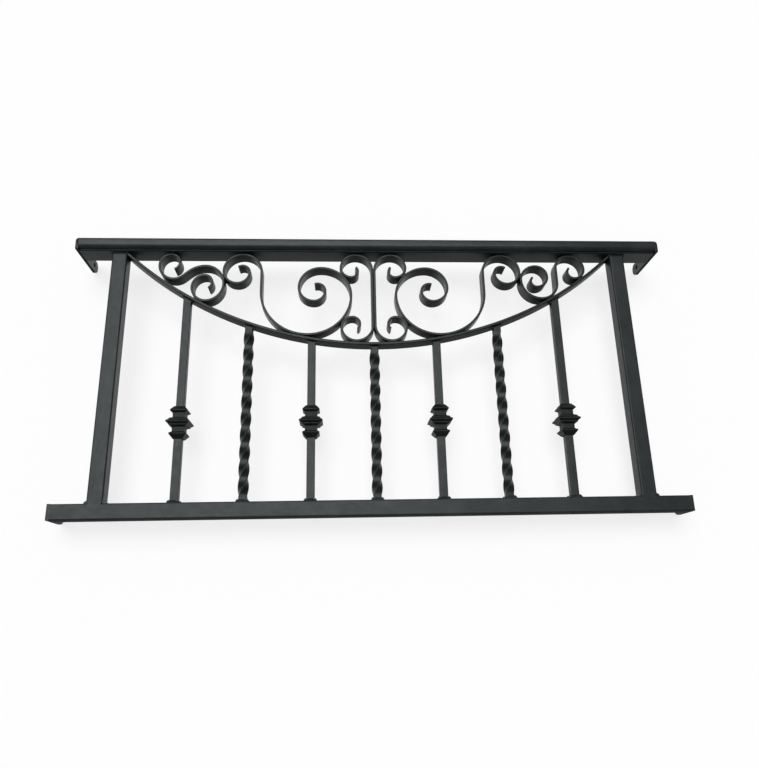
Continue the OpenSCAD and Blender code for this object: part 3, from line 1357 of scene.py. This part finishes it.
@dataclass
class Welds:
    """Weld beads where the posts, bars, scrolls and handrail meet.

    Fillet is how far a bead's middle stands out of its corner and its two half
    widths, as shares of its leg. Belly spots and touches, in millimetres from the
    panel's middle, are where the scrolls meet the belly bar and each other.
    """

    panel: Panel
    arc: BellyArc
    base_leg: float = 5.2
    top_leg: float = 3.0
    depth: float = 23.0
    head_in: float = 1.0
    fillet: tuple[float, float, float] = (0.32, 0.72, 0.36)
    rail_bead: tuple[float, float] = (6.0, 0.8)
    belly_bead: tuple[float, float] = (6.5, 0.8)
    touch_bead: tuple[float, float] = (4.5, 0.9)
    belly_spots: tuple[float, ...] = (-30.5, 30.5, -127.7, 127.7, -293.6, 304.4, 361.1)
    touches: tuple[tuple[float, float, float], ...] = (
        (-52.4, 396.8, math.radians(-45.6)), (52.4, 396.8, math.radians(45.6)),
        (-254.3, 393.9, math.radians(-62.1)), (255.2, 396.5, math.radians(72.5)))

    def build(self) -> list[bpy.types.Object]:
        """Returns the beads, collected by what they join."""
        return [self._post_welds(), self._bar_welds(), self._scroll_welds()]

    def _corner(
        self, point: Vector, run: Vector, first: Vector, second: Vector, leg: float,
        length: float
    ) -> Bead:
        """Makes a fillet bead in a corner.

        Args:
            point: middle of the corner's line.
            run: direction of the line.
            first: direction along one face, away from the corner.
            second: direction along the other face.
            leg: how far the fillet reaches along each face.
            length: length of the bead.

        Returns:
            The bead.
        """
        out = (first + second).normalized()
        flat = (first - second).normalized()
        stand, wide, thick = (leg * share for share in self.fillet)
        return Bead(point + out * stand, run, flat, length, wide, thick)

    def _ring(
        self, piece: Workpiece, point: Vector, side: float, face: Vector, leg: float
    ) -> None:
        """Adds four fillets round the end of a square bar.

        Args:
            piece: the piece that collects the welds.
            point: middle of the bar's end.
            side: side of the bar.
            face: direction from the face that it stands on towards the bar.
            leg: size of the fillets.
        """
        sides = ((X_AXIS, Y_AXIS), (-X_AXIS, Y_AXIS), (Y_AXIS, X_AXIS), (-Y_AXIS, X_AXIS))
        for way, run in sides:
            spot = point + way * (side / 2)
            self._corner(spot, run, way, face, leg, side + leg).add_to(piece)

    def _post_welds(self) -> bpy.types.Object:
        """Welds the posts to the bottom rail and to the handrail.

        Returns:
            The finished beads.
        """
        panel = self.panel
        piece = Workpiece("post_welds", WELD_PAINT)
        half = panel.tube_side / 2
        for side in Side:
            x = panel.middle + side.value * panel.post_off
            for way in (-X_AXIS, X_AXIS):
                foot = Vector((x, 0.0, panel.rail_top)) + way * half
                bead = self._corner(foot, Y_AXIS, way, Z_AXIS, self.base_leg, self.depth)
                bead.add_to(piece)
            head = Vector((x, 0.0, panel.under))
            self._ring(piece, head, panel.tube_side - self.head_in, -Z_AXIS, self.top_leg)
        return piece.done()

    def _bar_welds(self) -> bpy.types.Object:
        """Welds the bars to the bottom rail and to the belly bar.

        Returns:
            The finished beads.
        """
        panel = self.panel
        piece = Workpiece("bar_welds", WELD_PAINT)
        for number in range(1, panel.bar_count + 1):
            off = panel.bar_off(number)
            x = panel.middle + off
            self._ring(
                piece, Vector((x, 0.0, panel.rail_top)), panel.bar_side, Z_AXIS, self.base_leg)
            slope = self.arc.slope(off)
            along = direction(slope)
            for way in (-1.0, 1.0):
                reach = way * panel.bar_side / 2
                height = self.arc.underside(off) + reach * math.tan(slope)
                bead = self._corner(
                    Vector((x + reach, 0.0, height)), Y_AXIS, along * way, -Z_AXIS,
                    self.top_leg, panel.bar_side)
                bead.add_to(piece)
        return piece.done()

    def _scroll_welds(self) -> bpy.types.Object:
        """Welds the scrolls to the handrail, the belly bar and each other.

        Returns:
            The finished beads.
        """
        panel = self.panel
        piece = Workpiece("scroll_welds", WELD_PAINT)
        for drawing in Scrolls(panel).drawings():
            spot = Vector((panel.middle + drawing.off, 0.0, panel.under - panel.weld_gap))
            Bead(spot, Y_AXIS, X_AXIS, self.depth, *self.rail_bead).add_to(piece)
        for off in self.belly_spots:
            slope = math.asin(off / self.arc.radius)
            spot = Vector((panel.middle + off, 0.0, self.arc.top(off)))
            Bead(spot, Y_AXIS, direction(slope), self.depth, *self.belly_bead).add_to(piece)
        for off, height, angle in self.touches:
            spot = Vector((panel.middle + off, 0.0, height))
            Bead(spot, Y_AXIS, direction(angle), self.depth, *self.touch_bead).add_to(piece)
        return piece.done()


@dataclass
class Stage:
    """The pale floor that the panel lies on, the light and the camera.

    The sky goes from the first to the second of its levels as it comes round to the
    street side, and falls to a share of that towards the ground.
    """

    panel: Panel
    floor_gap: float = 1.0
    floor_size: float = 14.0
    floor_tone: tuple[float, float, float] = (0.87, 0.87, 0.87)
    floor_white: float = 0.77
    sky: tuple[float, float] = (0.10, 0.30)
    sky_front: tuple[float, float] = (-0.15, -0.50)
    sky_fall: tuple[float, float] = (-0.80, -0.45)
    sky_ground: float = 0.25
    lamp_power: float = 2.75
    lamp_spread: float = 46.0
    lamp_from: tuple[float, float, float] = (-0.15, -0.94, 0.27)
    camera_place: tuple[float, float, float] = (444.5, -1091.5, -148.2)
    camera_turn: tuple[float, float, float] = (107.845, 1.235, -2.888)
    focal_pixels: float = 697.4
    sensor: float = 36.0
    nearest: float = 0.05

    def build(self) -> None:
        """Makes the floor, the light and the camera."""
        self._floor()
        self._lights()
        self._camera()

    def _floor(self) -> None:
        """Makes the floor that the end plates' tails lie on, clear when seen from behind."""
        bm = bmesh.new()
        low, high = (
            Vector((0.0, box[1].y + self.floor_gap * MM, (box[0].z + box[1].z) / 2))
            for box in (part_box("left_lower_lug"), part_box("left_upper_lug")))
        lean = math.atan2(high.y - low.y, high.z - low.z)
        middle = (low + high) / 2 + X_AXIS * self.panel.middle * MM
        place = Matrix.Translation(middle) @ Matrix.Rotation(math.pi / 2 - lean, 4, "X")
        bmesh.ops.create_grid(
            bm, x_segments=1, y_segments=1, size=self.floor_size / 2, matrix=place)
        mesh = bpy.data.meshes.new("floor")
        bm.to_mesh(mesh)
        bm.free()
        floor = bpy.data.objects.new("floor", mesh)
        bpy.context.scene.collection.objects.link(floor)
        mesh.materials.append(self._floor_paint())

    def _floor_paint(self) -> bpy.types.Material:
        """Makes the floor's material: white to the eye, and clear from behind.

        Returns:
            The material.
        """
        material = bpy.data.materials.new("pale_floor")
        material.use_nodes = True
        board = NodeBoard(material.node_tree)
        matt = board.add("ShaderNodeBsdfDiffuse", Color=(*self.floor_tone, 1.0))
        white = board.add("ShaderNodeEmission", Color=(1.0, 1.0, 1.0, 1.0), Strength=1.0)
        share = board.between(self._seen(board), (0.0, 1.0), (0.0, self.floor_white))
        pale = board.layer(share, matt.outputs["BSDF"], white.outputs["Emission"])
        clear = board.add("ShaderNodeBsdfTransparent")
        facing = board.add("ShaderNodeNewGeometry")
        both = board.layer(facing.outputs["Backfacing"], pale, clear.outputs["BSDF"])
        out = board.add("ShaderNodeOutputMaterial")
        board.wire(both, out.inputs["Surface"])
        return material

    @staticmethod
    def _seen(board: NodeBoard) -> bpy.types.NodeSocket:
        """Tells what is looked at, straight or in a gloss, from what only lights.

        Args:
            board: the node tree.

        Returns:
            A value that is 1 for what is looked at.
        """
        path = board.add("ShaderNodeLightPath")
        value = path.outputs["Is Camera Ray"]
        for name in ("Is Glossy Ray", "Is Transmission Ray"):
            value = board.join("MAXIMUM", value, path.outputs[name])
        return value

    def _lights(self) -> None:
        """Makes one broad lamp in front, a little up and left, and a sky pale in front."""
        scene = bpy.context.scene
        lamp = bpy.data.lights.new("broad_lamp", "SUN")
        lamp.energy = self.lamp_power
        lamp.angle = math.radians(self.lamp_spread)
        holder = bpy.data.objects.new("broad_lamp", lamp)
        holder.rotation_euler = Vector(self.lamp_from).to_track_quat("Z", "Y").to_euler()
        scene.collection.objects.link(holder)
        scene.world = bpy.data.worlds.new("front_sky")
        scene.world.use_nodes = True
        board = NodeBoard(scene.world.node_tree)
        way = board.add("ShaderNodeSeparateXYZ")
        board.wire(board.add("ShaderNodeTexCoord").outputs["Generated"], way.inputs["Vector"])
        front = board.between(way.outputs["Y"], self.sky_front, self.sky)
        fall = board.between(way.outputs["Z"], self.sky_fall, (self.sky_ground, 1.0))
        light = board.add("ShaderNodeBackground", Color=(1.0, 1.0, 1.0, 1.0))
        out = board.add("ShaderNodeOutputWorld")
        board.wire(board.join("MULTIPLY", front, fall), light.inputs["Strength"])
        board.wire(light.outputs["Background"], out.inputs["Surface"])
        scene.view_settings.view_transform = "Standard"

    def _camera(self) -> None:
        """Makes the camera at the photograph's place."""
        camera = bpy.data.cameras.new("camera")
        camera.sensor_width = self.sensor
        camera.lens = self.focal_pixels * self.sensor / PHOTO_LONG_SIDE
        camera.clip_start = self.nearest
        holder = bpy.data.objects.new("camera", camera)
        holder.location = Vector(self.camera_place) * MM
        holder.rotation_euler = Euler([math.radians(a) for a in self.camera_turn])
        bpy.context.scene.collection.objects.link(holder)
        bpy.context.scene.camera = holder


def main() -> None:
    """Builds the stage and the railing in order, and reports each piece."""
    logging.basicConfig(level=logging.INFO, format="%(name)s %(message)s")
    Stage(PANEL).build()
    parts = (
        TubeFrame(PANEL), Handrail(PANEL), EndPlates(PANEL), BellyBar(PANEL, BELLY),
        SquareBars(PANEL, BELLY), Collars(PANEL), Scrolls(PANEL), Welds(PANEL, BELLY))
    for part in parts:
        for piece in part.build():
            LOG.info("%s: %d faces", piece.name, len(piece.data.polygons))


if __name__ == "__main__":
    main()
